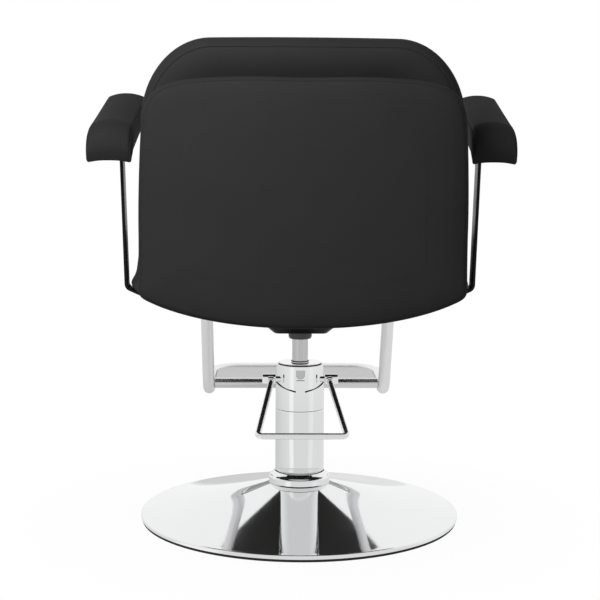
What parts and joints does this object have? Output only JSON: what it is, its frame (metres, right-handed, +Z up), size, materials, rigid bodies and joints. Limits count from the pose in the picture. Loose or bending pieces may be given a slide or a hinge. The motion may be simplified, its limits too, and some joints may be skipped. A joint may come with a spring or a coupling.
{
  "type": "hairdressing chair",
  "caption": "Upholstered salon armchair on a chrome dish base with a foot-pumped hydraulic column, swivelling seat, curved sandwich back, arched arm pads and a tubular footrest.",
  "frame": {"origin": "on the floor, on the axis of the pump column", "axes": "+Z up along the column; the sitter faces -Y; +X is the sitter's left"},
  "size_m": [0.776, 0.8625, 0.8863],
  "materials": {
    "chrome": "polished",
    "vinyl": "satin",
    "black_paint": "gloss",
    "dark_steel": "satin",
    "zinc": "satin",
    "cast_iron": "matte",
    "bronze": "satin",
    "rubber": "matte",
    "plywood": "matte"
  },
  "bodies": {
    "base": {"base_rubber": "rubber", "ballast_plate": "cast_iron", "base_dish": "chrome", "base_collar": "chrome", "pump_cover": "chrome", "head_cover": "chrome", "head_cap": "chrome", "head_sleeve": "chrome", "rod_wiper": "rubber", "pump_body": "cast_iron", "rod_bush": "bronze", "plunger_spring": "zinc", "base_bolt_1": "zinc", "base_bolt_2": "zinc", "base_bolt_3": "zinc"},
    "ram": {"piston_rod": "chrome", "piston_head": "dark_steel", "piston_seal": "rubber"},
    "pedal": {"pedal_shaft": "chrome", "pedal_rod": "chrome", "pedal_ferrule_left": "chrome", "pedal_ferrule_right": "chrome", "pedal_cam": "dark_steel"},
    "plunger": {"pump_plunger": "dark_steel"},
    "chair": {"swivel_hub": "dark_steel", "thrust_washer": "bronze", "seat_plate": "black_paint", "seat_plate_bolt_1": "zinc", "seat_plate_bolt_2": "zinc", "seat_plate_bolt_3": "zinc", "seat_plate_bolt_4": "zinc", "seat_board": "plywood", "seat_cushion": "vinyl", "back_panel": "vinyl", "back_board": "plywood", "back_cushion": "vinyl", "back_bracket_left": "black_paint", "back_bracket_right": "black_paint", "arm_bracket_left": "black_paint", "arm_bracket_right": "black_paint", "arm_board_left": "dark_steel", "arm_board_right": "dark_steel", "arm_pad_left": "vinyl", "arm_pad_right": "vinyl", "footrest_frame": "chrome", "footrest_crossbar": "chrome", "footrest_plate": "chrome", "footrest_flange_left": "chrome", "footrest_flange_right": "chrome", "arm_bolt_1": "zinc", "arm_bolt_2": "zinc", "arm_bolt_3": "zinc", "arm_bolt_4": "zinc", "back_bolt_1": "zinc", "back_bolt_2": "zinc", "footrest_bolt_1": "zinc", "footrest_bolt_2": "zinc", "footrest_bolt_3": "zinc", "footrest_bolt_4": "zinc"}
  },
  "joints": [
    {"name": "lift", "type": "slide", "parent": "base", "child": "ram", "axis": [0, 0, 1], "range_m": [-0.035, 0.105]},
    {"name": "swivel", "type": "hinge", "parent": "ram", "child": "chair", "pos_m": [0, 0, 0.3438], "axis": [0, 0, 1], "continuous": true},
    {"name": "pedal", "type": "hinge", "parent": "base", "child": "pedal", "pos_m": [0, 0.0215, 0.2674], "axis": [-1, 0, 0], "range_deg": [0, 22], "stiffness_Nm_per_rad": 6, "springref_deg": -17.19},
    {"name": "plunger", "type": "slide", "parent": "base", "child": "plunger", "axis": [0, 0, -1], "range_m": [0, 0.0055], "deforming": ["plunger_spring"]}
  ],
  "couplings": [
    {"joint": "plunger", "follows": "pedal", "m_per_rad": 0.0135}
  ]
}
